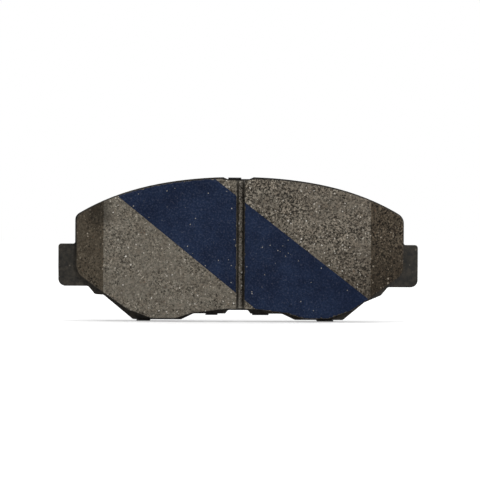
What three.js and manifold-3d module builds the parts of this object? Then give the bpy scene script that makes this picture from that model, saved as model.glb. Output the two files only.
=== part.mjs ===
// Disc brake pad for a sliding caliper: a stamped steel plate with two ears, a moulded lining
// bonded to its front and a damping shim folded over its back. Millimetres.
//
// Frame: +X runs along the pad, +Z points up (away from the wheel's axle), and the lining faces
// -Y, towards the disc. The origin is at the middle of the bottom of the bounding box.
//
// Every piece is drawn lying flat, as it is stamped or moulded: x along the pad, y up the pad and
// z the height above the shim's outer face. The group that holds the pieces stands them on edge.
import * as THREE from "three";
import { mergeVertices } from "three/addons/utils/BufferGeometryUtils.js";
import Module from "manifold-3d";

const wasm = await Module();
wasm.setup();

// Thickness of each layer, from the shim's outer face to the printed stripe.
const FACING = 0.2; // rubber skin on the shim's outer face
const CORE = 0.5; // sheet steel of the shim
const CUSHION = 0.2; // elastomer between shim and plate
const PLATE = 5.5;
const BOND = 0.15; // adhesive film under the lining
const UNDERLAYER = 1.85; // moulded base layer of the lining
const LINING = 8.7;
const COATING = 0.1; // printed stripe
const SEAM = 0.02; // gap left between two layers

// Heights of the layers above the shim's outer face.
const CORE_Z = FACING;
const CUSHION_Z = CORE_Z + CORE;
const PLATE_Z = CUSHION_Z + CUSHION;
const BOND_Z = PLATE_Z + PLATE;
const UNDERLAYER_Z = BOND_Z + BOND;
const LINING_Z = UNDERLAYER_Z + UNDERLAYER;
const FACE_Z = LINING_Z + LINING;
const THICKNESS = FACE_Z + COATING;

// Plate outline.
const EAR_REACH = 74.2; // from the middle to the end of each ear
const EAR_BOTTOM = 14.2;
const EAR_TOP = 31.7;
const BODY_LEFT = 67.3; // from the middle to the body's left side
const BODY_RIGHT = 68.4;
const ARCH_X = 0.35; // how far the arch sits from the middle between the ears
const CROWN = 59.5; // top of the arch
const LOBE = 0.57; // underside of the two lobes
const SHELF = 3.05; // underside of the plate between the lobes
const HIP_LEFT = [55.5, 10.6]; // where each lobe's slope eases off towards the ear
const HIP_RIGHT = [52.2, 7.9];
const NOTCH_FLOOR = 58.65; // floor of the shallow notch at the crown

// Lining outline.
const LINING_X = 0.8; // how far the lining sits from the plate's middle
const LINING_HALF = 67.05;
const LINING_INSET = 0.9; // below the plate's arch
const LINING_NOTCH = 57.9; // floor of the lining's own notch at the crown

// Slot and end chamfers of the lining.
const SLOT_X = 1.0;
const SLOT_WIDTH = 3.3; // at the face
const SLOT_FLOOR_WIDTH = 1.8;
const SLOT_DEPTH = 6.9;
const CHAMFER_LEFT = -54.8; // where each chamfer meets the face
const CHAMFER_RIGHT = 54.1;
const CHAMFER_ANGLE = THREE.MathUtils.degToRad(20);

// Printed stripe: one point and the slope angle of each long edge.
const STRIPE_LOWER = { x: -25, y: 31.6, angle: THREE.MathUtils.degToRad(-39.1) };
const STRIPE_UPPER = { x: 26, y: 30.7, angle: THREE.MathUtils.degToRad(-37.8) };

// Holes that the lining is moulded into, and the half-pierced buttons that locate the shim.
const ANCHOR_RADIUS = 4.5;
const ANCHORS = [[-46, 33], [-17, 28], [17, 28], [46, 33]];
const BUTTON_RADIUS = 3;
const BUTTON_HEIGHT = 0.7;
const BUTTONS = [[-31, 41], [31, 41]];
const FILL_GAP = 0.05; // between a moulded plug and its hole
const BUTTON_CLEARANCE = 0.4;

// Shim outline and its folded tabs: [left, right, height of the plate edge that it folds over,
// height of the sheet's own edge beside it, side].
const SHIM_HALF = 64.8;
const SHIM_INSET = 1.8; // below the plate's arch
const SHIM_LOBE = 2.6; // undersides of the sheet
const SHIM_SHELF = 5.2;
const TAB_GAP = 0.07;
const TAB_BEND = 0.9; // outer radius of the fold
const TAB_LENGTH = 7; // from the shim's outer steel face to the tab's end
const TABS = [
  [-41.8, -36.3, LOBE, SHIM_LOBE, -1],
  [32.6, 39.4, LOBE, SHIM_LOBE, -1],
  [-13.4, -8.4, SHELF, SHIM_SHELF, -1],
  [5.9, 12.7, SHELF, SHIM_SHELF, -1],
  [-4.2, 1.2, NOTCH_FLOOR, CROWN - SHIM_INSET, 1],
];
const RELIEF_RADIUS = 0.9; // round notch in the sheet on each side of a tab
const RELIEF_BITE = 0.2; // how far the notch's circle reaches under the tab

const OVERSHOOT = 1; // how far a cutting tool runs past the material
const ARC_STEPS = 4; // facets on a rounded corner, as ExtrudeGeometry counts them
const BAR_SIDES = 32;
const TINY = 1e-9;

// Height of the plate's top edge at x.
function arch(x) {
  const out = x - ARCH_X;
  return CROWN - 0.00243 * out ** 2 - 2.38e-7 * out ** 4;
}

// Points along the arch between two distances from the middle on one side (1 right, -1 left),
// lowered by inset, as sharp corners.
function archCorners(side, from, to, inset) {
  const steps = Math.ceil(Math.abs(to - from) / 4);
  return Array.from({ length: steps + 1 }, (_, i) => {
    const x = from + ((to - from) * i) / steps;
    return [x, arch(side * x) - inset, 0];
  });
}

// A closed outline from corners [x, y, radius], each rounded by an arc of its radius.
function roundedOutline(corners) {
  const shape = new THREE.Shape();
  corners.forEach(([x, y, radius], i) => {
    const corner = new THREE.Vector2(x, y);
    const before = new THREE.Vector2(...corners.at(i - 1)).sub(corner).normalize();
    const after = new THREE.Vector2(...corners[(i + 1) % corners.length]).sub(corner).normalize();
    const start = i === 0 ? "moveTo" : "lineTo";
    const half = Math.acos(THREE.MathUtils.clamp(before.dot(after), -1, 1)) / 2;
    if (radius === 0 || Math.PI / 2 - half < TINY) {
      shape[start](x, y);
      return;
    }
    const reach = radius / Math.tan(half);
    const begin = corner.clone().addScaledVector(before, reach);
    const end = corner.clone().addScaledVector(after, reach);
    const middle = before.add(after).normalize();
    const centre = corner.clone().addScaledVector(middle, radius / Math.sin(half));
    const angleAt = (p) => Math.atan2(p.y - centre.y, p.x - centre.x);
    const turnsRight = begin.clone().sub(centre).cross(end.clone().sub(centre)) < 0;
    shape[start](begin.x, begin.y);
    shape.absarc(centre.x, centre.y, radius, angleAt(begin), angleAt(end), turnsRight);
  });
  return shape;
}

// A closed outline from its right and left halves, each listed from the bottom to the top as
// corners [distance from the middle, y, radius].
function joinHalves(right, left) {
  const mirrored = left.map(([x, y, radius]) => [-x, y, radius]);
  return roundedOutline([...right, ...mirrored.reverse()]);
}

// An outline raised by a length along +Z.
function extrude(shape, depth) {
  const options = { depth, bevelEnabled: false, curveSegments: ARC_STEPS };
  return new THREE.ExtrudeGeometry(shape, options);
}

// An outline raised from one height to another.
function slab(shape, low, high) {
  return toSolid(extrude(shape, high - low).translate(0, 0, low));
}

function toSolid(geometry) {
  const bare = geometry.clone();
  bare.deleteAttribute("normal");
  bare.deleteAttribute("uv");
  const merged = mergeVertices(bare, 1e-4);
  return new wasm.Manifold(
    new wasm.Mesh({
      numProp: 3,
      vertProperties: merged.attributes.position.array,
      triVerts: new Uint32Array(merged.index.array),
    }),
  );
}

function toGeometry(solid) {
  const { vertProperties, triVerts } = solid.getMesh();
  const geometry = new THREE.BufferGeometry();
  geometry.setAttribute("position", new THREE.BufferAttribute(vertProperties, 3));
  geometry.setIndex(new THREE.BufferAttribute(triVerts, 1));
  geometry.computeVertexNormals();
  return geometry;
}

// An upright round bar between two heights.
function bar([x, y], radius, low, high) {
  const cylinder = new THREE.CylinderGeometry(radius, radius, high - low, BAR_SIDES);
  return toSolid(cylinder.rotateX(Math.PI / 2).translate(x, y, (low + high) / 2));
}

function plateOutline() {
  const half = (side, body, shoulder, hip) => [
    [4.1, 4.5, 0.8],
    [5.2, SHELF, 0.6],
    [18.2, SHELF, 3],
    [23.5, LOBE, 2],
    [43.3, LOBE, 1.2],
    [...hip, 1],
    [59, 10.8, 1.3],
    [61.9, EAR_BOTTOM, 1.4],
    [EAR_REACH, EAR_BOTTOM, 3],
    [EAR_REACH, EAR_TOP, 1.2],
    [body, EAR_TOP, 0.8],
    [body, arch(side * body), shoulder],
    ...archCorners(side, body - 4, 6.3, 0),
    [4.6, NOTCH_FLOOR, 0.4],
  ];
  return joinHalves(half(1, BODY_RIGHT, 4.6, HIP_RIGHT), half(-1, BODY_LEFT, 3.2, HIP_LEFT));
}

// The lining lies off the plate's middle by LINING_X, but its top edge follows the plate's.
function liningOutline() {
  const half = (side) => {
    const shift = side * LINING_X;
    const edge = LINING_HALF + shift;
    return [
      [6 + shift, 5.3, 6],
      [19.5 + shift, 3.7, 6],
      [26.3 + shift, 1.45, 2],
      [36 + shift, 1.45, 4],
      [45.7 + shift, 5, 10],
      [edge, 19.7, 6],
      [edge, arch(side * edge) - LINING_INSET, 4],
      ...archCorners(side, edge - 4, 6.6, LINING_INSET),
      [4.9, LINING_NOTCH, 0.4],
    ];
  };
  return joinHalves(half(1), half(-1));
}

function shimOutline() {
  const half = (side) => [
    [3.4, 7.2, 1],
    [5, SHIM_SHELF, 1.2],
    [18.8, SHIM_SHELF, 3],
    [23.8, SHIM_LOBE, 2],
    [42.6, SHIM_LOBE, 2],
    [SHIM_HALF, 20.6, 4],
    [SHIM_HALF, arch(side * SHIM_HALF) - SHIM_INSET, 4],
    ...archCorners(side, SHIM_HALF - 4, 2, SHIM_INSET),
  ];
  return joinHalves(half(1), half(-1));
}

function backingPlate() {
  let solid = slab(plateOutline(), PLATE_Z, BOND_Z);
  for (const place of ANCHORS) {
    solid = solid.subtract(bar(place, ANCHOR_RADIUS, PLATE_Z - OVERSHOOT, BOND_Z + OVERSHOOT));
  }
  for (const place of BUTTONS) {
    solid = solid.add(bar(place, BUTTON_RADIUS, PLATE_Z - BUTTON_HEIGHT, PLATE_Z + OVERSHOOT));
    solid = solid.subtract(bar(place, BUTTON_RADIUS, BOND_Z - BUTTON_HEIGHT, BOND_Z + OVERSHOOT));
  }
  return solid;
}

// The adhesive film stops at the anchor holes and at the hollows behind the buttons.
function bondFilm() {
  let solid = slab(liningOutline(), BOND_Z + SEAM, UNDERLAYER_Z);
  for (const place of [...ANCHORS, ...BUTTONS]) {
    solid = solid.subtract(bar(place, ANCHOR_RADIUS, BOND_Z - OVERSHOOT, UNDERLAYER_Z + OVERSHOOT));
  }
  return solid;
}

// The base layer, with the plugs that it forms in the anchor holes and button hollows.
function underlayer() {
  const overlap = UNDERLAYER_Z + UNDERLAYER / 2;
  let solid = slab(liningOutline(), UNDERLAYER_Z + SEAM, LINING_Z);
  for (const place of ANCHORS) {
    solid = solid.add(bar(place, ANCHOR_RADIUS - FILL_GAP, PLATE_Z + SEAM, overlap));
  }
  for (const place of BUTTONS) {
    const floor = BOND_Z - BUTTON_HEIGHT + FILL_GAP;
    solid = solid.add(bar(place, BUTTON_RADIUS - FILL_GAP, floor, overlap));
  }
  return solid;
}

// The wedge-sided groove across the middle of the lining.
function slotCutter() {
  const top = FACE_Z + OVERSHOOT;
  const floor = FACE_Z - SLOT_DEPTH;
  const flare = (SLOT_WIDTH - SLOT_FLOOR_WIDTH) / 2 / SLOT_DEPTH; // sideways per millimetre of height
  const topHalf = SLOT_WIDTH / 2 + flare * OVERSHOOT;
  const shape = roundedOutline([
    [SLOT_X - SLOT_FLOOR_WIDTH / 2, floor, 0.5],
    [SLOT_X + SLOT_FLOOR_WIDTH / 2, floor, 0.5],
    [SLOT_X + topHalf, top, 0],
    [SLOT_X - topHalf, top, 0],
  ]);
  const length = CROWN + 2 * OVERSHOOT;
  return toSolid(extrude(shape, length).rotateX(Math.PI / 2).translate(0, length - OVERSHOOT, 0));
}

// A block whose lower face is the chamfer plane, which passes through edgeX on the face.
function chamferCutter(edgeX, side) {
  const size = 40;
  const geometry = new THREE.BoxGeometry(size, 2 * CROWN, size)
    .translate((side * size) / 2, 0, size / 2)
    .rotateY(side * CHAMFER_ANGLE)
    .translate(edgeX, CROWN / 2, FACE_Z);
  return toSolid(geometry);
}

function frictionBlock() {
  return slab(liningOutline(), LINING_Z + SEAM, FACE_Z)
    .subtract(slotCutter())
    .subtract(chamferCutter(CHAMFER_LEFT, -1))
    .subtract(chamferCutter(CHAMFER_RIGHT, 1));
}

// The printed stripe on one side of the slot, on the flat part of the face.
function coating(fromX, toX) {
  const edgeAt = (edge, x) => [x, edge.y + (x - edge.x) * Math.tan(edge.angle), 0];
  const band = roundedOutline([
    edgeAt(STRIPE_LOWER, fromX),
    edgeAt(STRIPE_LOWER, toX),
    edgeAt(STRIPE_UPPER, toX),
    edgeAt(STRIPE_UPPER, fromX),
  ]);
  const film = slab(liningOutline(), FACE_Z + SEAM, THICKNESS);
  return film.intersect(slab(band, FACE_Z - OVERSHOOT, THICKNESS + OVERSHOOT));
}

// A flat layer of the shim, with a clear hole around each button and notches beside the tabs.
function shimLayer(low, high) {
  const reach = RELIEF_RADIUS - RELIEF_BITE;
  const notches = TABS.flatMap(([left, right, , sheetEdge]) => [
    [left - reach, sheetEdge],
    [right + reach, sheetEdge],
  ]);
  const cuts = [
    ...BUTTONS.map((place) => [place, BUTTON_RADIUS + BUTTON_CLEARANCE]),
    ...notches.map((place) => [place, RELIEF_RADIUS]),
  ];
  return cuts.reduce(
    (solid, [place, radius]) => solid.subtract(bar(place, radius, low - OVERSHOOT, high + OVERSHOOT)),
    slab(shimOutline(), low, high),
  );
}

// One tab: an L-shaped strip that leaves the sheet and folds over the plate's edge.
function tab([left, right, edge, , side]) {
  const inner = edge + side * TAB_GAP;
  const outer = inner + side * CORE;
  const root = edge - side * 4;
  const shape = roundedOutline([
    [CORE_Z, root, 0],
    [CORE_Z, outer, TAB_BEND],
    [CORE_Z + TAB_LENGTH, outer, 0.25],
    [CORE_Z + TAB_LENGTH, inner, 0],
    [CUSHION_Z, inner, TAB_BEND - CORE],
    [CUSHION_Z, root, 0],
  ]);
  // The profile is drawn as (height, y) and raised along the width, so it is turned about y.
  return toSolid(extrude(shape, right - left).rotateY(-Math.PI / 2).translate(right, 0, 0));
}

function shimCore() {
  return TABS.reduce((solid, each) => solid.add(tab(each)), shimLayer(CORE_Z, CUSHION_Z));
}

const plateBlack = { color: 0x2b2a27, roughness: 0.55, metalness: 0.3 };
const shimBlack = { color: 0x1f2022, roughness: 0.7, metalness: 0.1 };
const rubberBlack = { color: 0x2a2b2d, roughness: 0.85, metalness: 0 };
const liningGrey = { color: 0x67625a, roughness: 0.9, metalness: 0.05 };
const underlayerBrown = { color: 0x4a4038, roughness: 0.95, metalness: 0 };
const bondAmber = { color: 0x3a2a1c, roughness: 0.6, metalness: 0 };
const stripeBlue = { color: 0x27304a, roughness: 0.7, metalness: 0 };

const pad = new THREE.Group();
pad.rotation.x = Math.PI / 2;
pad.position.y = THICKNESS / 2;

function addPiece(name, solid, finish) {
  const mesh = new THREE.Mesh(toGeometry(solid), new THREE.MeshStandardMaterial(finish));
  mesh.name = name;
  pad.add(mesh);
}

addPiece("backing_plate", backingPlate(), plateBlack);
addPiece("bond_film", bondFilm(), bondAmber);
addPiece("underlayer", underlayer(), underlayerBrown);
addPiece("friction_block", frictionBlock(), liningGrey);
addPiece("coating_left", coating(CHAMFER_LEFT, SLOT_X - SLOT_WIDTH / 2), stripeBlue);
addPiece("coating_right", coating(SLOT_X + SLOT_WIDTH / 2, CHAMFER_RIGHT), stripeBlue);
addPiece("shim_cushion", shimLayer(CUSHION_Z + SEAM, PLATE_Z - SEAM), rubberBlack);
addPiece("shim_core", shimCore(), shimBlack);
addPiece("shim_facing", shimLayer(0, CORE_Z - SEAM), rubberBlack);

const brakePad = new THREE.Group();
brakePad.add(pad);

export default brakePad;
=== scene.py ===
import math
from itertools import pairwise

import bmesh
import bpy
import numpy as np
from mathutils import Euler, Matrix, Vector, kdtree, noise


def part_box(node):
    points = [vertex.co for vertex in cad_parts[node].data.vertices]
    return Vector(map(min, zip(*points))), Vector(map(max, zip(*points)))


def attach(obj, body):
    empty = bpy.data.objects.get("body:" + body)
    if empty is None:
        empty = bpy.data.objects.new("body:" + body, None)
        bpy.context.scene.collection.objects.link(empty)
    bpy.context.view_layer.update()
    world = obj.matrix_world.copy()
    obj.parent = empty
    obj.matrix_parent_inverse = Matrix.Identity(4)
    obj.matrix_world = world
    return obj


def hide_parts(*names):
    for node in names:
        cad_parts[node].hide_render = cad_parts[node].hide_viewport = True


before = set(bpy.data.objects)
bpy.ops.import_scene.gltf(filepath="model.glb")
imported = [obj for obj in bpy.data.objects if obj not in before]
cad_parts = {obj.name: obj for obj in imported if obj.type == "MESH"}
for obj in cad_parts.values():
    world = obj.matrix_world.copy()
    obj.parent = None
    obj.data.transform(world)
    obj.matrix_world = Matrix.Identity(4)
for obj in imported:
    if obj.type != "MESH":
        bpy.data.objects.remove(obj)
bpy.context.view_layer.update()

MM = 0.001
BODY = "root"

SEAM = 0.02 * MM  # the gap that the frame leaves between two layers

# Where each layer's faces lie along Y. The lining's face looks towards -Y and the shim's to +Y.
PLATE_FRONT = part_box("backing_plate")[0].y
PLATE_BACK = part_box("shim_cushion")[0].y - SEAM
BUTTON_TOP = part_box("backing_plate")[1].y
BUTTON_RISE = BUTTON_TOP - PLATE_BACK
LINING_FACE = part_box("friction_block")[0].y
LINING_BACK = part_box("friction_block")[1].y
SHIM_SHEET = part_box("shim_cushion")[1].y

# Marks on the lining's face, as x, z and reach: the darker stain on the left chamfer, and the
# rough patch right of the slot.
STAIN = (-57 * MM, 45 * MM, 8 * MM)
ROUGH_PATCH = (13 * MM, 52 * MM, 18 * MM)


# ---------------------------------------------------------------------------------------------
# Meshes
# ---------------------------------------------------------------------------------------------


def new_piece(name, bm, material, slot, *nodes):
    """Turns bm into a smooth-shaded piece that rides on the pad and stands for CAD nodes."""
    bmesh.ops.recalc_face_normals(bm, faces=bm.faces)
    mesh = bpy.data.meshes.new(name)
    bm.to_mesh(mesh)
    bm.free()
    mesh.shade_smooth()
    mesh.materials.append(material)
    piece = bpy.data.objects.new(name, mesh)
    bpy.context.scene.collection.objects.link(piece)
    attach(piece, BODY)
    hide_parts(*nodes)
    return piece


def node_surface(node):
    """A bmesh of a CAD node with its split corners joined."""
    bm = bmesh.new()
    bm.from_mesh(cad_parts[node].data)
    bmesh.ops.remove_doubles(bm, verts=bm.verts, dist=0.001 * MM)
    return bm


def outlines(node, y):
    """The closed loops, as lists of (x, z), that bound a CAD node's flat face at y, longest first."""
    bm = node_surface(node)
    near = 0.005 * MM
    flat = {f for f in bm.faces if all(abs(v.co.y - y) < near for v in f.verts)}
    follows = {}
    for face in flat:
        for corner in face.loops:
            if corner.link_loop_radial_next.face not in flat:
                follows[corner.vert] = corner.link_loop_next.vert
    loops = []
    while follows:
        start = vert = next(iter(follows))
        loop = []
        while vert in follows:
            loop.append((vert.co.x, vert.co.z))
            vert = follows.pop(vert)
        assert vert is start
        loops.append(np.array(loop))
    bm.free()
    return sorted(loops, key=lambda loop: -np.ptp(loop, axis=0).sum())


def turn_left(loop, outer):
    """The loop in the order that keeps the material on its left: outer ones run anticlockwise."""
    x, z = loop.T
    area = (x * np.roll(z, -1) - z * np.roll(x, -1)).sum() / 2
    return loop if (area > 0) == outer else loop[::-1]


def resample(loop, step):
    """The loop with its long edges divided, so that none is longer than step."""
    points = []
    for a, b in zip(loop, np.roll(loop, -1, axis=0)):
        count = max(1, math.ceil(np.hypot(*(b - a)) / step))
        points += [a + (b - a) * i / count for i in range(count)]
    return np.array(points)


def inward(loop):
    """For each point, the vector that moves it into the material by one unit of inset."""
    ahead = np.roll(loop, -1, axis=0) - loop
    ahead /= np.hypot(*ahead.T)[:, None]
    normal = np.stack([-ahead[:, 1], ahead[:, 0]], axis=1)
    before = np.roll(normal, 1, axis=0)
    both = normal + before
    return both / (1 + (normal * before).sum(axis=1))[:, None]


def add_rings(bm, loop, profile, wobble=None):
    """A band of quads around a loop, through (inset, y) points. Gives its first and last rings."""
    into = inward(loop)
    rings = []
    for inset, y in profile:
        ring = []
        for point, (dx, dz) in zip(loop, into):
            extra = wobble(point, y) if wobble else 0
            x, z = point[0] + dx * (inset + extra), point[1] + dz * (inset + extra)
            ring.append(bm.verts.new((x, y, z)))
        rings.append(ring)
    for a, b in pairwise(rings):
        for i in range(len(loop)):
            j = (i + 1) % len(loop)
            bm.faces.new((a[i], a[j], b[j], b[i]))
    return rings[0], rings[-1]


def fill(bm, *rings):
    """Flat faces between an outer ring and any rings inside it."""
    edges = []
    for ring in rings:
        for a, b in pairwise([*ring, ring[0]]):
            edges.append(bm.edges.get((a, b)) or bm.edges.new((a, b)))
    bmesh.ops.triangle_fill(bm, edges=edges, use_beauty=True)


def rounded(front, back, front_radius, back_radius, steps=4):
    """An edge's profile from the front face round to the back face, as (inset, y) points."""
    hold = 0.08 * MM  # a narrow flat beside each rounding, which keeps the big faces flat
    points = [(front_radius + hold, front)]
    for i in range(steps + 1):
        angle = math.pi / 2 * i / steps
        inset = front_radius * (1 - math.sin(angle))
        points.append((inset, front + front_radius * (1 - math.cos(angle))))
    points.append((0, front + front_radius + hold))
    points.append((0, back - back_radius - hold))
    for i in range(steps + 1):
        angle = math.pi / 2 * i / steps
        inset = back_radius * (1 - math.cos(angle))
        points.append((inset, back - back_radius * (1 - math.sin(angle))))
    points.append((back_radius + hold, back))
    return points


def circle(centre, radius, sides=48):
    """A round loop, anticlockwise."""
    angle = np.arange(sides) * 2 * math.pi / sides
    return np.stack([centre[0] + radius * np.cos(angle), centre[1] + radius * np.sin(angle)], 1)


def centre_and_radius(loop):
    """The circle that a small round loop of a CAD face follows."""
    centre = (loop.max(axis=0) + loop.min(axis=0)) / 2
    return centre, np.ptp(loop, axis=0).mean() / 2


def add_stub(bm, centre, radius, root, tip, rounding):
    """A round boss from root to tip, or a round hollow if tip lies inside. Gives its root ring."""
    way = math.copysign(1, tip - root)
    slope_out = 0.15 * MM  # the small slope where the flat face meets the stub's wall
    slope_up = 0.12 * MM
    profile = [(-slope_out, root), (0, root + way * slope_up), (0, tip - way * rounding)]
    for i in range(1, 5):
        angle = math.pi / 8 * i
        inset = rounding * (1 - math.cos(angle))
        profile.append((inset, tip - way * rounding * (1 - math.sin(angle))))
    root_ring, tip_ring = add_rings(bm, circle(centre, radius), profile)
    fill(bm, tip_ring)
    return root_ring


def ripple(point, y, size, seed):
    """Smooth noise from -1 to 1 at a point of a side wall, with features of about size."""
    return noise.noise(Vector((point[0] / size, y / size + seed, point[1] / size)))


# ---------------------------------------------------------------------------------------------
# Materials
# ---------------------------------------------------------------------------------------------


def srgb(red, green, blue):
    """A linear colour from 8-bit sRGB values."""
    linear = [((c / 255 + 0.055) / 1.055) ** 2.4 if c > 10 else c / 3294.6 for c in (red, green, blue)]
    return (*linear, 1)


class Shade:
    """A material under construction, with short calls for its nodes."""

    def __init__(self, name):
        self.material = bpy.data.materials.new(name)
        self.material.use_nodes = True
        self.tree = self.material.node_tree
        self.surface = self.tree.nodes["Principled BSDF"]
        self.place = self.add("TexCoord").outputs["Object"]

    def add(self, kind, inputs=None, **settings):
        """A node with its settings, and with each input linked or given a value."""
        node = self.tree.nodes.new("ShaderNode" + kind)
        for key, value in settings.items():
            setattr(node, key, value)
        for key, value in (inputs or {}).items():
            if isinstance(value, bpy.types.NodeSocket):
                self.tree.links.new(value, node.inputs[key])
            else:
                node.inputs[key].default_value = value
        return node

    def math(self, operation, a, b=0.0, c=0.0):
        """The result of a Math node."""
        return self.add("Math", {0: a, 1: b, 2: c}, operation=operation).outputs[0]

    def span(self, value, low, high, to_low=0.0, to_high=1.0, smooth=False):
        """Maps low..high to to_low..to_high, clamped."""
        inputs = {0: value, 1: low, 2: high, 3: to_low, 4: to_high}
        interpolation = "SMOOTHSTEP" if smooth else "LINEAR"
        return self.add("MapRange", inputs, interpolation_type=interpolation).outputs[0]

    def mix(self, factor, a, b, blend="MIX"):
        """Colour a where the factor is 0 and colour b, or its blend with a, where it is 1."""
        inputs = {0: factor, 6: a, 7: b}
        return self.add("Mix", inputs, data_type="RGBA", blend_type=blend).outputs[2]

    def axes(self, output="Object"):
        """The x, y and z of the object coordinates, or of the surface normal."""
        vector = self.add("TexCoord").outputs[output]
        return self.add("SeparateXYZ", {0: vector}).outputs

    def scale(self, color, factor):
        """A colour multiplied by a number or by another colour."""
        return self.mix(1, color, factor, "MULTIPLY")

    def noise(self, scale, detail=2.0, rough=0.5, place=None):
        """Cloudy values around 0.5. The scale is in features per metre."""
        inputs = {"Vector": place or self.place, "Scale": scale, "Detail": detail, "Roughness": rough}
        return self.add("TexNoise", inputs).outputs["Fac"]

    def warp(self, size, amount, place=None):
        """Coordinates pushed about by noise, so that round cells turn irregular."""
        inputs = {"Vector": place or self.place, "Scale": 1 / size, "Detail": 2.0}
        cloud = self.add("TexNoise", inputs).outputs["Color"]
        centred = self.add("VectorMath", {0: cloud, 1: (0.5, 0.5, 0.5)}, operation="SUBTRACT")
        scaled = self.add("VectorMath", {0: centred.outputs[0], "Scale": amount}, operation="SCALE")
        moved = self.add("VectorMath", {0: place or self.place, 1: scaled.outputs[0]}, operation="ADD")
        return moved.outputs[0]

    def stretch(self, turn, factors, place=None):
        """Coordinates turned about Y by an angle and scaled, for grain that runs one way."""
        inputs = {"Vector": place or self.place, "Rotation": (0, turn, 0), "Scale": factors}
        return self.add("Mapping", inputs, vector_type="TEXTURE").outputs[0]

    def near(self, x, z, reach):
        """1 around a spot of the lining's face, fading to 0 at a reach from it."""
        inputs = {0: self.place, 1: (x, LINING_FACE, z)}
        distance = self.add("VectorMath", inputs, operation="DISTANCE").outputs["Value"]
        return self.span(distance, reach, reach * 0.4, smooth=True)

    def cells(self, size, share, reach, place=None, seed=0.0):
        """Blobs in a share of random cells, and a random tint. reach is in cell sizes."""
        inputs = {0: place or self.place, 1: (seed, seed, seed)}
        shifted = self.add("VectorMath", inputs, operation="ADD").outputs[0]
        cells = self.add("TexVoronoi", {"Vector": shifted, "Scale": 1 / size})
        parts = self.add("SeparateColor", {0: cells.outputs["Color"]})
        chosen = self.math("LESS_THAN", parts.outputs[0], share)
        radius = self.span(parts.outputs[1], 0, 1, reach * 0.5, reach)
        edge = self.math("SUBTRACT", radius, cells.outputs["Distance"])
        blob = self.span(edge, 0, reach * 0.35, smooth=True)
        return self.math("MULTIPLY", chosen, blob), parts.outputs[2]

    def finish(self, color, roughness, height, depth, gloss=0.5):
        """Wires colour, roughness and a bump of a depth, and sets the even specular level."""
        for key, value in (("Base Color", color), ("Roughness", roughness)):
            if isinstance(value, bpy.types.NodeSocket):
                self.tree.links.new(value, self.surface.inputs[key])
            else:
                self.surface.inputs[key].default_value = value
        bump = self.add("Bump", {"Height": height, "Distance": depth, "Strength": 1.0})
        self.tree.links.new(bump.outputs[0], self.surface.inputs["Normal"])
        self.surface.inputs["Specular IOR Level"].default_value = gloss
        return self.material


def wall_mask(shade, start=0.8, end=0.45):
    """1 on the side walls, whose normals lie in the pad's plane, and 0 on the big faces."""
    away = shade.math("ABSOLUTE", shade.axes("Normal")[1])
    return shade.span(away, start, end)


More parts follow.
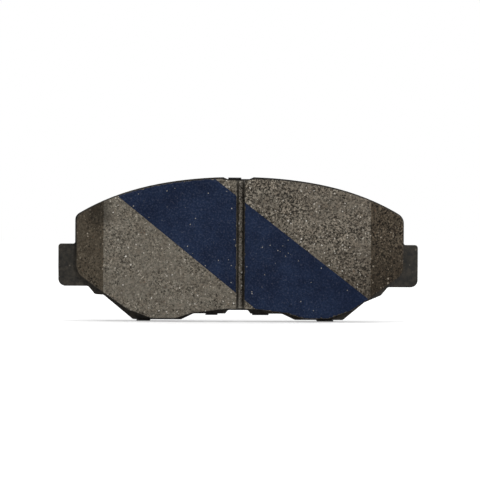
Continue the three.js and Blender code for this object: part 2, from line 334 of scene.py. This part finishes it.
def lining_look(shade):
    """Colour, roughness and height of the moulded friction material: grit, chips and fibres."""
    x, _, z = shade.axes()
    ragged = shade.warp(0.8 * MM, 0.7 * MM)
    clouds = shade.noise(60, 3)
    blotch = shade.noise(330, 3, 0.6)
    grit = shade.noise(1150, 3, 0.75)
    fine = shade.noise(2900, 2, 0.7)

    # The moulding is greyer and smoother on the left, browner and coarser on the right.
    rightward = shade.span(shade.math("ADD", x, shade.math("MULTIPLY", clouds, 0.05)), 0, 0.055)
    low_right = shade.math("MULTIPLY", shade.span(x, 0.02, 0.05), shade.span(z, 0.032, 0.018))
    color = shade.mix(rightward, srgb(105, 101, 92), srgb(100, 95, 86))
    color = shade.mix(low_right, color, srgb(77, 72, 64))
    color = shade.mix(shade.span(blotch, 0.38, 0.66), color, shade.scale(color, (0.8, 0.77, 0.75, 1)))
    color = shade.mix(shade.span(fine, 0.4, 0.6), color, shade.scale(color, (1.03, 0.99, 0.96, 1)))
    coarse = shade.span(rightward, 0, 1, 0.66, 1.25)
    rough = shade.near(*ROUGH_PATCH)
    coarse = shade.math("MULTIPLY_ADD", rough, 0.75, coarse)
    coarse = shade.math("MULTIPLY", coarse, shade.span(shade.noise(95, 2), 0.38, 0.62, 0.65, 1.5))
    value = shade.span(grit, 0.26, 0.74, -1.15, 1.0)
    speckle = shade.span(fine, 0.28, 0.72, -0.6, 0.6)
    value = shade.math("MULTIPLY_ADD", shade.math("ADD", value, speckle), coarse, 1.0)
    color = shade.scale(color, shade.math("MAXIMUM", value, 0.14))
    stain = shade.math("MULTIPLY", shade.near(*STAIN), shade.span(clouds, 0.4, 0.6, 0.4, 1))
    darker = shade.math("ADD", shade.math("MULTIPLY", stain, 0.5), shade.math("MULTIPLY", rough, 0.12))
    color = shade.scale(color, shade.math("SUBTRACT", 1, darker))
    height = shade.math("ADD", shade.math("MULTIPLY", grit, 0.6), shade.math("MULTIPLY", fine, 0.4))

    pits, _ = shade.cells(1.25 * MM, 0.2, 0.46, ragged, 3.1)
    small_pits, _ = shade.cells(0.8 * MM, 0.22, 0.46, ragged, 1.7)
    chips, tint = shade.cells(1.05 * MM, 0.11, 0.42, ragged, 5.3)
    grit_cells, grit_tint = shade.cells(0.75 * MM, 0.12, 0.45, ragged, 7.9)
    rust, _ = shade.cells(1.4 * MM, 0.05, 0.34, ragged, 9.4)
    chip_color = shade.mix(tint, srgb(150, 143, 129), srgb(214, 209, 200))
    grit_color = shade.mix(grit_tint, srgb(132, 116, 98), srgb(160, 156, 148))
    color = shade.mix(shade.math("MULTIPLY", grit_cells, 0.6), color, grit_color)
    color = shade.mix(shade.math("MULTIPLY", rust, 0.6), color, srgb(112, 84, 66))
    color = shade.mix(shade.math("MULTIPLY", small_pits, coarse), color, srgb(42, 38, 33))
    color = shade.mix(shade.math("MULTIPLY", pits, coarse), color, srgb(31, 28, 23))
    color = shade.mix(shade.math("MULTIPLY", chips, 0.85), color, chip_color)

    glint = chips
    for turn, seed in ((0.5, 11.0), (-0.7, 13.0), (1.9, 17.0)):
        along = shade.stretch(turn, (4, 1, 1), ragged)
        fibres, _ = shade.cells(0.55 * MM, 0.04, 0.4, along, seed)
        color = shade.mix(shade.math("MULTIPLY", fibres, 0.7), color, srgb(172, 164, 150))
        glint = shade.math("MAXIMUM", glint, fibres)

    sunk = shade.math("ADD", shade.math("MULTIPLY", pits, 0.9), shade.math("MULTIPLY", small_pits, 0.4))
    height = shade.math("SUBTRACT", height, sunk)
    height = shade.math("ADD", height, shade.math("MULTIPLY", glint, 0.3))
    roughness = shade.span(glint, 0, 1, 0.9, 0.55)
    return color, roughness, height


def lining_material(flat_left, flat_right):
    """Friction material: darker on the end chamfers, outside flat_left to flat_right, and walls."""
    shade = Shade("friction_material")
    color, roughness, height = lining_look(shade)
    x, y, _ = shade.axes()
    uneven = shade.math("MULTIPLY", shade.noise(900, 2), 0.3 * MM)
    shifted = shade.math("ADD", x, uneven)
    left = shade.span(shifted, flat_left, flat_left + 0.25 * MM, 1, 0)
    right = shade.span(shifted, flat_right, flat_right + 0.25 * MM)
    chamfer = shade.math("ADD", left, right)
    color = shade.mix(chamfer, color, shade.scale(color, (0.46, 0.42, 0.37, 1)))

    # Painted light: the slot's floor, which is deeper than anything else that faces the disc, is made
    # paler, as if lit.
    wall = wall_mask(shade)
    deep = shade.span(y, LINING_FACE + 5.4 * MM, LINING_FACE + 6 * MM)
    slot_floor_painted_light = shade.math("MULTIPLY", deep, shade.math("SUBTRACT", 1, wall))
    color = shade.mix(slot_floor_painted_light, color, shade.scale(color, (1.5, 1.55, 1.65, 1)))

    # The mould drags the side walls along Y, and the plate's paint mists them near the plate.
    drag = shade.noise(700, 3, 0.6, shade.stretch(0, (1, 7, 1)))
    dull = shade.span(drag, 0.3, 0.7, 0.36, 0.74)
    color = shade.mix(wall, color, shade.scale(color, dull))
    cloud = shade.math("MULTIPLY", shade.noise(420, 4, 0.7), 3.2 * MM)
    mist = shade.span(shade.math("ADD", y, cloud), LINING_BACK - 0.6 * MM, LINING_BACK + 1.9 * MM)
    mist = shade.math("MULTIPLY", shade.math("MULTIPLY", mist, wall), 0.8)
    color = shade.mix(mist, color, srgb(31, 30, 27))

    # The block's last tenths of a millimetre take the base layer's brown, up to a wavy line.
    wave = shade.math("MULTIPLY", shade.noise(260, 3), 1.4 * MM)
    brown = shade.span(shade.math("ADD", y, wave), LINING_BACK + 0.35 * MM, LINING_BACK + 0.6 * MM)
    color = shade.mix(brown, color, srgb(52, 43, 35))
    height = shade.math("ADD", height, shade.math("MULTIPLY", shade.math("MULTIPLY", drag, wall), 0.9))
    return shade.finish(color, roughness, height, 0.13 * MM, gloss=0.12)


def print_material():
    """Dark blue ink, thin on the highest grains of the lining, which show through it."""
    shade = Shade("printed_band")
    color, _, height = lining_look(shade)
    tone = shade.noise(85, 4, 0.65)
    grain = shade.noise(1300, 3, 0.75)
    blue = shade.mix(shade.span(tone, 0.35, 0.65), srgb(8, 22, 46), srgb(22, 36, 61))
    blue = shade.scale(blue, shade.span(grain, 0.28, 0.72, 0.52, 1.45))
    thin = shade.span(grain, 0.5, 0.8, 0.0, 0.26)
    specks, _ = shade.cells(1.05 * MM, 0.04, 0.38, shade.warp(0.8 * MM, 0.7 * MM), 5.3)
    bare = shade.math("MAXIMUM", thin, shade.math("MULTIPLY", specks, 0.55))
    color = shade.mix(bare, blue, color)
    return shade.finish(color, 0.75, height, 0.07 * MM, gloss=0.12)


def base_layer_material():
    """The denser brown base of the lining, misted with the plate's black paint."""
    shade = Shade("base_layer")
    mottle = shade.noise(900, 4, 0.7)
    drag = shade.noise(700, 3, 0.6, shade.stretch(0, (1, 7, 1)))
    color = shade.mix(shade.span(mottle, 0.3, 0.7), srgb(40, 33, 28), srgb(72, 60, 49))
    color = shade.scale(color, shade.span(drag, 0.3, 0.7, 0.6, 1.2))
    mist = shade.span(shade.noise(420, 4, 0.7), 0.42, 0.6)
    color = shade.mix(shade.math("MULTIPLY", mist, 0.75), color, srgb(30, 29, 27))
    chips, tint = shade.cells(1.1 * MM, 0.12, 0.36, shade.warp(0.8 * MM, 0.7 * MM), 2.6)
    chip_color = shade.mix(tint, srgb(92, 78, 62), srgb(138, 130, 118))
    color = shade.mix(shade.math("MULTIPLY", chips, 0.7), color, chip_color)
    height = shade.math("ADD", mottle, shade.math("MULTIPLY", drag, 0.6))
    return shade.finish(color, shade.span(mist, 0, 1, 0.9, 0.6), height, 0.11 * MM, gloss=0.2)


def adhesive_material():
    """Cured adhesive squeezed out of the joint, glossier where it beaded."""
    shade = Shade("adhesive")
    tone = shade.noise(420, 3, 0.6)
    color = shade.mix(shade.span(tone, 0.3, 0.7), srgb(30, 22, 16), srgb(58, 41, 25))
    return shade.finish(color, shade.span(tone, 0.3, 0.7, 0.3, 0.6), tone, 0.05 * MM)


def plate_material():
    """Black paint over stamped steel: orange peel, mottled tone and specks, a dull torn side zone."""
    shade = Shade("plate_steel")
    _, y, _ = shade.axes()
    tone = shade.noise(130, 4, 0.6)
    grime = shade.noise(560, 4, 0.75)
    peel = shade.noise(1150, 2, 0.5)
    color = shade.mix(shade.span(tone, 0.36, 0.64), srgb(27, 25, 20), srgb(44, 40, 34))
    color = shade.scale(color, shade.span(grime, 0.36, 0.64, 0.3, 1.9))
    specks, tint = shade.cells(1.2 * MM, 0.12, 0.34, shade.warp(1 * MM, 0.7 * MM), 4.2)
    speck_color = shade.mix(tint, srgb(70, 65, 57), srgb(98, 93, 84))
    color = shade.mix(shade.math("MULTIPLY", specks, 0.6), color, speck_color)

    wall = wall_mask(shade)
    tear = shade.noise(820, 4, 0.7, shade.stretch(0, (1, 2.5, 1)))
    torn_to = PLATE_FRONT + 2.7 * MM
    ragged = shade.math("ADD", y, shade.math("MULTIPLY", shade.noise(300, 2), 1.6 * MM))
    torn = shade.math("MULTIPLY", shade.span(ragged, torn_to + 1.2 * MM, torn_to + 0.2 * MM), wall)
    color = shade.mix(torn, color, shade.scale(color, shade.span(tear, 0.3, 0.7, 0.55, 1.7)))
    roughness = shade.span(grime, 0.3, 0.7, 0.46, 0.62)
    roughness = shade.math("ADD", roughness, shade.math("MULTIPLY", torn, 0.22))
    height = shade.math("ADD", peel, shade.math("MULTIPLY", shade.math("MULTIPLY", tear, torn), 2.2))
    return shade.finish(color, roughness, height, 0.07 * MM, gloss=0.2)


def shim_steel_material():
    """The shim's coated steel, rubbed bare at the cut edges of the sheet."""
    shade = Shade("shim_steel")
    _, y, _ = shade.axes()
    tone = shade.noise(240, 4, 0.6)
    rub = shade.noise(1100, 3, 0.7)
    color = shade.mix(shade.span(tone, 0.3, 0.7), srgb(22, 22, 23), srgb(35, 35, 36))
    in_sheet = shade.span(y, SHIM_SHEET, SHIM_SHEET + 0.08 * MM)
    cut = shade.math("MULTIPLY", wall_mask(shade, 0.4, 0.1), in_sheet)
    worn = shade.math("MULTIPLY", cut, shade.span(rub, 0.36, 0.58, 0.25, 1.0))
    color = shade.mix(worn, color, srgb(96, 94, 90))
    roughness = shade.span(worn, 0, 1, 0.5, 0.38)
    return shade.finish(color, roughness, shade.noise(2200, 2), 0.025 * MM)


def shim_rubber_material():
    """Thin black rubber, rolled along X: streaks, a pebble grain, patchy gloss and scuffs."""
    shade = Shade("shim_rubber")
    patches = shade.noise(38, 4, 0.6)
    mottle = shade.noise(240, 4, 0.65)
    streaks = shade.noise(420, 3, 0.6, shade.stretch(0, (14, 1, 1)))
    pebble = shade.noise(1500, 3, 0.7)
    color = shade.mix(shade.span(patches, 0.36, 0.64), srgb(31, 31, 33), srgb(48, 48, 49))
    color = shade.scale(color, shade.span(mottle, 0.32, 0.68, 0.7, 1.3))
    color = shade.scale(color, shade.span(streaks, 0.3, 0.7, 0.78, 1.25))
    color = shade.scale(color, shade.span(pebble, 0.3, 0.7, 0.5, 1.5))
    dust, tint = shade.cells(1.9 * MM, 0.07, 0.2, shade.warp(1 * MM, 0.7 * MM), 6.6)
    dust_color = shade.mix(tint, srgb(70, 68, 63), srgb(120, 116, 108))
    color = shade.mix(shade.math("MULTIPLY", dust, 0.6), color, dust_color)
    scuffs = None
    for turn, seed in ((0.25, 21.0), (-0.4, 23.0), (1.3, 27.0)):
        along = shade.stretch(turn, (26, 1, 1), shade.warp(6 * MM, 1.5 * MM))
        mark, _ = shade.cells(0.7 * MM, 0.02, 0.3, along, seed)
        scuffs = mark if scuffs is None else shade.math("MAXIMUM", scuffs, mark)
    scuffs = shade.math("MULTIPLY", scuffs, shade.span(mottle, 0.4, 0.6))
    color = shade.mix(shade.math("MULTIPLY", scuffs, 0.45), color, srgb(92, 91, 90))
    gloss = shade.math("ADD", shade.math("MULTIPLY", patches, 0.5), shade.math("MULTIPLY", mottle, 0.5))
    roughness = shade.span(gloss, 0.38, 0.62, 0.36, 0.66)
    height = shade.math("ADD", pebble, shade.math("MULTIPLY", streaks, 0.25))
    height = shade.math("SUBTRACT", height, shade.math("MULTIPLY", scuffs, 0.5))
    return shade.finish(color, roughness, height, 0.07 * MM)


def shim_elastomer_material():
    """The soft inner skin, seen only as a dull line at the shim's edge."""
    shade = Shade("shim_elastomer")
    tone = shade.noise(400, 3)
    color = shade.mix(shade.span(tone, 0.3, 0.7), srgb(24, 24, 25), srgb(38, 38, 38))
    return shade.finish(color, 0.8, tone, 0.02 * MM)


# ---------------------------------------------------------------------------------------------
# Pieces
# ---------------------------------------------------------------------------------------------


def make_plate():
    """The stamped plate: rounded by the punch at the back, torn through its side, with two buttons."""
    front_loops = outlines("backing_plate", PLATE_FRONT)
    outer = resample(turn_left(front_loops[0], True), 1.2 * MM)
    round_holes = [centre_and_radius(loop) for loop in front_loops[1:]]
    least_anchor = 0.9 * max(radius for _, radius in round_holes)
    anchors = [(centre, radius) for centre, radius in round_holes if radius > least_anchor]
    buttons = [(centre, radius) for centre, radius in round_holes if radius <= least_anchor]
    torn_to = PLATE_FRONT + 2.6 * MM
    profile = rounded(PLATE_FRONT, PLATE_BACK, 0.25 * MM, 0.7 * MM, 5)
    middle = len(profile) // 2
    torn_rings = [(0, PLATE_FRONT + depth * MM) for depth in (0.9, 1.6, 2.3, 2.9, 3.6)]
    profile[middle:middle] = torn_rings

    def tear(point, y):
        """How far the torn side lies inside the outline, fading out towards both faces."""
        fade = min(1, max(0, (torn_to - y) / (1.2 * MM))) * min(1, (y - PLATE_FRONT) / (0.4 * MM))
        coarse = ripple(point, y * 0.4, 1.1 * MM, 3)
        return 0.05 * MM * fade * (0.5 + 0.5 * coarse)

    bm = bmesh.new()
    front, back = add_rings(bm, outer, profile, tear)
    front_rings, back_rings = [front], [back]
    for centre, radius in anchors:
        hole = circle(centre, radius)[::-1]
        first, last = add_rings(bm, hole, rounded(PLATE_FRONT, PLATE_BACK, 0.3 * MM, 0.2 * MM, 3))
        front_rings.append(first)
        back_rings.append(last)
    for centre, radius in buttons:
        hollow = add_stub(bm, centre, radius, PLATE_FRONT, PLATE_FRONT + BUTTON_RISE, 0.15 * MM)
        boss = add_stub(bm, centre, radius, PLATE_BACK, BUTTON_TOP, 0.3 * MM)
        front_rings.append(hollow)
        back_rings.append(boss)
    fill(bm, *front_rings)
    fill(bm, *back_rings)
    return new_piece("stamped_plate", bm, plate_material(), "plate_steel", "backing_plate")


def make_flat_layer(name, node, material, slot, radius, step=1.2, wobble=None):
    """A thin layer cut to its CAD node's outline and holes. radius and step are in millimetres."""
    low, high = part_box(node)
    loops = outlines(node, low.y)
    bm = bmesh.new()
    fronts, backs = [], []
    profile = rounded(low.y, high.y, radius * MM, radius * MM, 2)
    for i, loop in enumerate(loops):
        if i == 0:
            line = resample(turn_left(loop, True), step * MM)
        else:
            line = circle(*centre_and_radius(loop))[::-1]
        first, last = add_rings(bm, line, profile, wobble if i == 0 else None)
        fronts.append(first)
        backs.append(last)
    fill(bm, *fronts)
    fill(bm, *backs)
    return new_piece(name, bm, material, slot, node)


def make_underlayer():
    """The base layer under the friction block, with the plugs that it forms in the plate's holes."""
    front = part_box("underlayer")[0].y
    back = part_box("bond_film")[0].y - SEAM
    outer, *plugs = outlines("underlayer", back)
    bm = bmesh.new()
    line = resample(turn_left(outer, True), 0.7 * MM)
    profile = rounded(front, back, 0.06 * MM, 0.06 * MM, 2)
    middle = len(profile) // 2
    side_rings = [(0, front + (back - front) * share) for share in (0.25, 0.5, 0.75)]
    profile[middle:middle] = side_rings

    def crumble(point, y):
        """The moulded edge, uneven by less than a tenth of a millimetre."""
        return 0.05 * MM * (1 + ripple(point, y, 1.3 * MM, 8))

    first, last = add_rings(bm, line, profile, crumble)
    fill(bm, first)
    roots = [last]
    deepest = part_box("underlayer")[1].y
    hollow_floor = PLATE_FRONT + BUTTON_RISE - 0.05 * MM
    least_anchor = 0.9 * max(centre_and_radius(loop)[1] for loop in plugs)
    for loop in plugs:
        centre, radius = centre_and_radius(loop)
        tip = deepest if radius > least_anchor else hollow_floor
        roots.append(add_stub(bm, centre, radius, back, tip, 0.2 * MM))
    fill(bm, *roots)
    return new_piece("base_layer_moulded", bm, base_layer_material(), "base_layer", "underlayer")


def apply_modifiers(piece):
    """Gives the piece the mesh that its modifiers make of it."""
    shown = piece.evaluated_get(bpy.context.evaluated_depsgraph_get())
    old = piece.data
    piece.data = bpy.data.meshes.new_from_object(shown)
    piece.modifiers.clear()
    bpy.data.meshes.remove(old)


def sink(mesh, depth_at):
    """Moves each vertex into the solid by depth_at of its place."""
    places = np.empty(len(mesh.vertices) * 3)
    mesh.vertices.foreach_get("co", places)
    normals = np.array([n.vector for n in mesh.vertex_normals])
    places = places.reshape(-1, 3)
    depths = np.array([depth_at(Vector(place)) for place in places])
    places -= normals * depths[:, None]
    mesh.vertices.foreach_set("co", places.ravel())
    mesh.update()


def sharp_edge_points(node, least_angle, step):
    """Points every step along a CAD node's edges that turn by more than an angle."""
    bm = node_surface(node)
    points = []
    for edge in bm.edges:
        if edge.calc_face_angle(0) > least_angle:
            a, b = (v.co for v in edge.verts)
            count = max(1, math.ceil((b - a).length / step))
            points += [a.lerp(b, i / count) for i in range(count)]
    bm.free()
    return points


def make_lining():
    """The friction block, remeshed finely, its surface pitted and its edges crumbled a little."""
    crisp = sharp_edge_points("friction_block", math.radians(40), 0.3 * MM)
    tree = kdtree.KDTree(len(crisp))
    for i, point in enumerate(crisp):
        tree.insert(point, i)
    tree.balance()
    bm = node_surface("friction_block")
    flat = np.concatenate(outlines("friction_block", LINING_FACE))
    material = lining_material(flat[:, 0].min(), flat[:, 0].max())
    piece = new_piece("friction_block_moulded", bm, material, "friction_material", "friction_block")
    remesh = piece.modifiers.new("grain", "REMESH")
    remesh.mode = "VOXEL"
    remesh.voxel_size = 0.45 * MM
    remesh.use_smooth_shade = True
    apply_modifiers(piece)

    def wear(point):
        """How deep the surface lies below the crisp shape at a point."""
        if LINING_BACK - point.y < 0.4 * MM:
            return 0
        place = point / MM
        grain = 0.5 + 0.5 * noise.noise(place * 0.9)
        distances, seeds = noise.voronoi(place * 0.42)
        pitted = noise.cell(seeds[0] * 7) > 0.72
        pit = max(0, 1 - (distances[0] / 0.3) ** 2) if pitted else 0
        near = max(0, 1 - tree.find(point)[2] / (0.9 * MM))
        chip = max(0, noise.noise(place * 1.1 + Vector((9, 4, 2))) - 0.1) * near
        depth = 0.04 * grain + 0.14 * pit + 0.06 * near + 0.5 * chip
        return depth * MM

    sink(piece.data, wear)
    return piece


def make_band(name, node, lining):
    """One half of the printed band: a film that follows the lining's surface."""
    low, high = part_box(node)
    bm = bmesh.new()
    bm.from_mesh(lining.data)
    lowest_print = LINING_FACE + 0.6 * MM
    unprinted = [f for f in bm.faces if f.normal.y > -0.75 or f.calc_center_median().y > lowest_print]
    bmesh.ops.delete(bm, geom=unprinted, context="FACES")
    (outline,) = outlines(node, low.y)
    lower, upper = band_edges(outline)
    cuts = [((low.x, 0, 0), (-1, 0, 0)), ((high.x, 0, 0), (1, 0, 0)), lower, upper]
    for place, out in cuts:
        geometry = [*bm.verts, *bm.edges, *bm.faces]
        bmesh.ops.bisect_plane(bm, geom=geometry, plane_co=place, plane_no=out, clear_outer=True)
    clearance = 0.03 * MM
    for vertex in bm.verts:
        vertex.co.y -= clearance
    piece = new_piece(name, bm, print_material(), "printed_band", node)
    solidify = piece.modifiers.new("film", "SOLIDIFY")
    solidify.thickness = 0.05 * MM
    solidify.offset = 1
    apply_modifiers(piece)
    return piece


def band_edges(outline):
    """The planes of the band's two slanting edges, as (point, outward normal)."""
    corners = turn_left(outline, True)
    planes = []
    for (x, z), (dx, dz) in zip(corners, np.roll(corners, -1, axis=0) - corners):
        if abs(dx) > 2 * MM and -0.9 < dz / dx < -0.7:
            length = math.hypot(dx, dz)
            planes.append(((x, 0, z), (dz / length, 0, -dx / length)))
    return planes


def make_shim_core():
    """The shim's folded steel, with its cut edges broken."""
    bm = node_surface("shim_core")
    bmesh.ops.dissolve_limit(bm, angle_limit=math.radians(0.5), verts=bm.verts, edges=bm.edges)
    piece = new_piece("shim_core_folded", bm, shim_steel_material(), "shim_steel", "shim_core")
    bevel = piece.modifiers.new("broken edges", "BEVEL")
    bevel.width = 0.12 * MM
    bevel.segments = 3
    bevel.limit_method = "ANGLE"
    bevel.angle_limit = math.radians(35)
    bevel.use_clamp_overlap = False
    bevel.harden_normals = True
    apply_modifiers(piece)
    return piece


def squeeze(point, y):
    """How far the adhesive stands out of the joint, as a negative inset. It's the same at every y."""
    return -0.12 * MM * (1 + ripple(point, 0, 4 * MM, 5))


make_plate()
make_flat_layer("bond_line", "bond_film", adhesive_material(), "adhesive", 0.03, 1, squeeze)
make_flat_layer("shim_cushion_sheet", "shim_cushion", shim_elastomer_material(), "shim_elastomer", 0.03)
make_flat_layer("shim_facing_sheet", "shim_facing", shim_rubber_material(), "shim_rubber", 0.04)
make_shim_core()
lining = make_lining()
make_band("printed_band_left", "coating_left", lining)
make_band("printed_band_right", "coating_right", lining)
make_underlayer()


# ---------------------------------------------------------------------------------------------
# Studio
# ---------------------------------------------------------------------------------------------


def make_floor():
    """A wide pale floor, with a little light of its own to keep the shadows soft."""
    bm = bmesh.new()
    bmesh.ops.create_circle(bm, cap_ends=True, radius=40, segments=96)
    mesh = bpy.data.meshes.new("floor")
    bm.to_mesh(mesh)
    bm.free()
    material = bpy.data.materials.new("studio_floor")
    material.use_nodes = True
    surface = material.node_tree.nodes["Principled BSDF"]
    surface.inputs["Base Color"].default_value = (0.58, 0.58, 0.58, 1)
    surface.inputs["Roughness"].default_value = 1.0
    surface.inputs["Specular IOR Level"].default_value = 0.0
    surface.inputs["Emission Color"].default_value = (1, 1, 1, 1)
    surface.inputs["Emission Strength"].default_value = 0.42
    mesh.materials.append(material)
    floor = bpy.data.objects.new("floor", mesh)
    bpy.context.scene.collection.objects.link(floor)


def add_lamp(name, kind, towards, **settings):
    """A lamp that shines along the vector towards, which ends at the pad's middle."""
    middle = Vector((0, 0, 30 * MM))
    data = bpy.data.lights.new(name, kind)
    for key, value in settings.items():
        setattr(data, key, value)
    light = bpy.data.objects.new(name, data)
    light.location = middle - Vector(towards)
    light.rotation_euler = Vector(towards).to_track_quat("-Z", "Y").to_euler()
    bpy.context.scene.collection.objects.link(light)


def light_studio():
    """White surroundings to look at, a dimmer sky to light by, and four soft lamps."""
    world = bpy.data.worlds.new("studio")
    world.use_nodes = True
    nodes, links = world.node_tree.nodes, world.node_tree.links
    sky = nodes["Background"]
    sky.inputs["Color"].default_value = (1, 1, 1, 1)
    sky.inputs["Strength"].default_value = 0.2
    white = nodes.new("ShaderNodeBackground")
    white.inputs["Color"].default_value = (1, 1, 1, 1)
    seen = nodes.new("ShaderNodeMixShader")
    links.new(nodes.new("ShaderNodeLightPath").outputs["Is Camera Ray"], seen.inputs[0])
    links.new(sky.outputs[0], seen.inputs[1])
    links.new(white.outputs[0], seen.inputs[2])
    links.new(seen.outputs[0], nodes["World Output"].inputs["Surface"])
    bpy.context.scene.world = world
    add_lamp("overhead", "SUN", (0, 0.12, -1), energy=2.6, angle=math.radians(70))
    add_lamp("key", "AREA", (-0.23, 1.16, -0.22), shape="DISK", size=0.16, energy=3.7)
    add_lamp("rear", "AREA", (0.75, -1.05, -0.35), shape="DISK", size=0.45, energy=8)
    add_lamp("side", "AREA", (-1.2, -0.4, -0.5), shape="DISK", size=0.5, energy=9)


def add_camera():
    """A long lens square to the lining's face, a little above the middle of the pad's height."""
    data = bpy.data.cameras.new("camera")
    data.sensor_width = 36
    data.lens = 145.4
    data.clip_start = 0.01
    distance = 0.8
    roll = math.radians(-0.27)
    camera = bpy.data.objects.new("camera", data)
    camera.location = (0.76 * MM, PLATE_FRONT - distance, 33.46 * MM)
    camera.rotation_euler = Euler((math.pi / 2, roll, 0))
    bpy.context.scene.collection.objects.link(camera)
    bpy.context.scene.camera = camera


make_floor()
light_studio()
add_camera()
bpy.context.scene.view_settings.view_transform = "Standard"
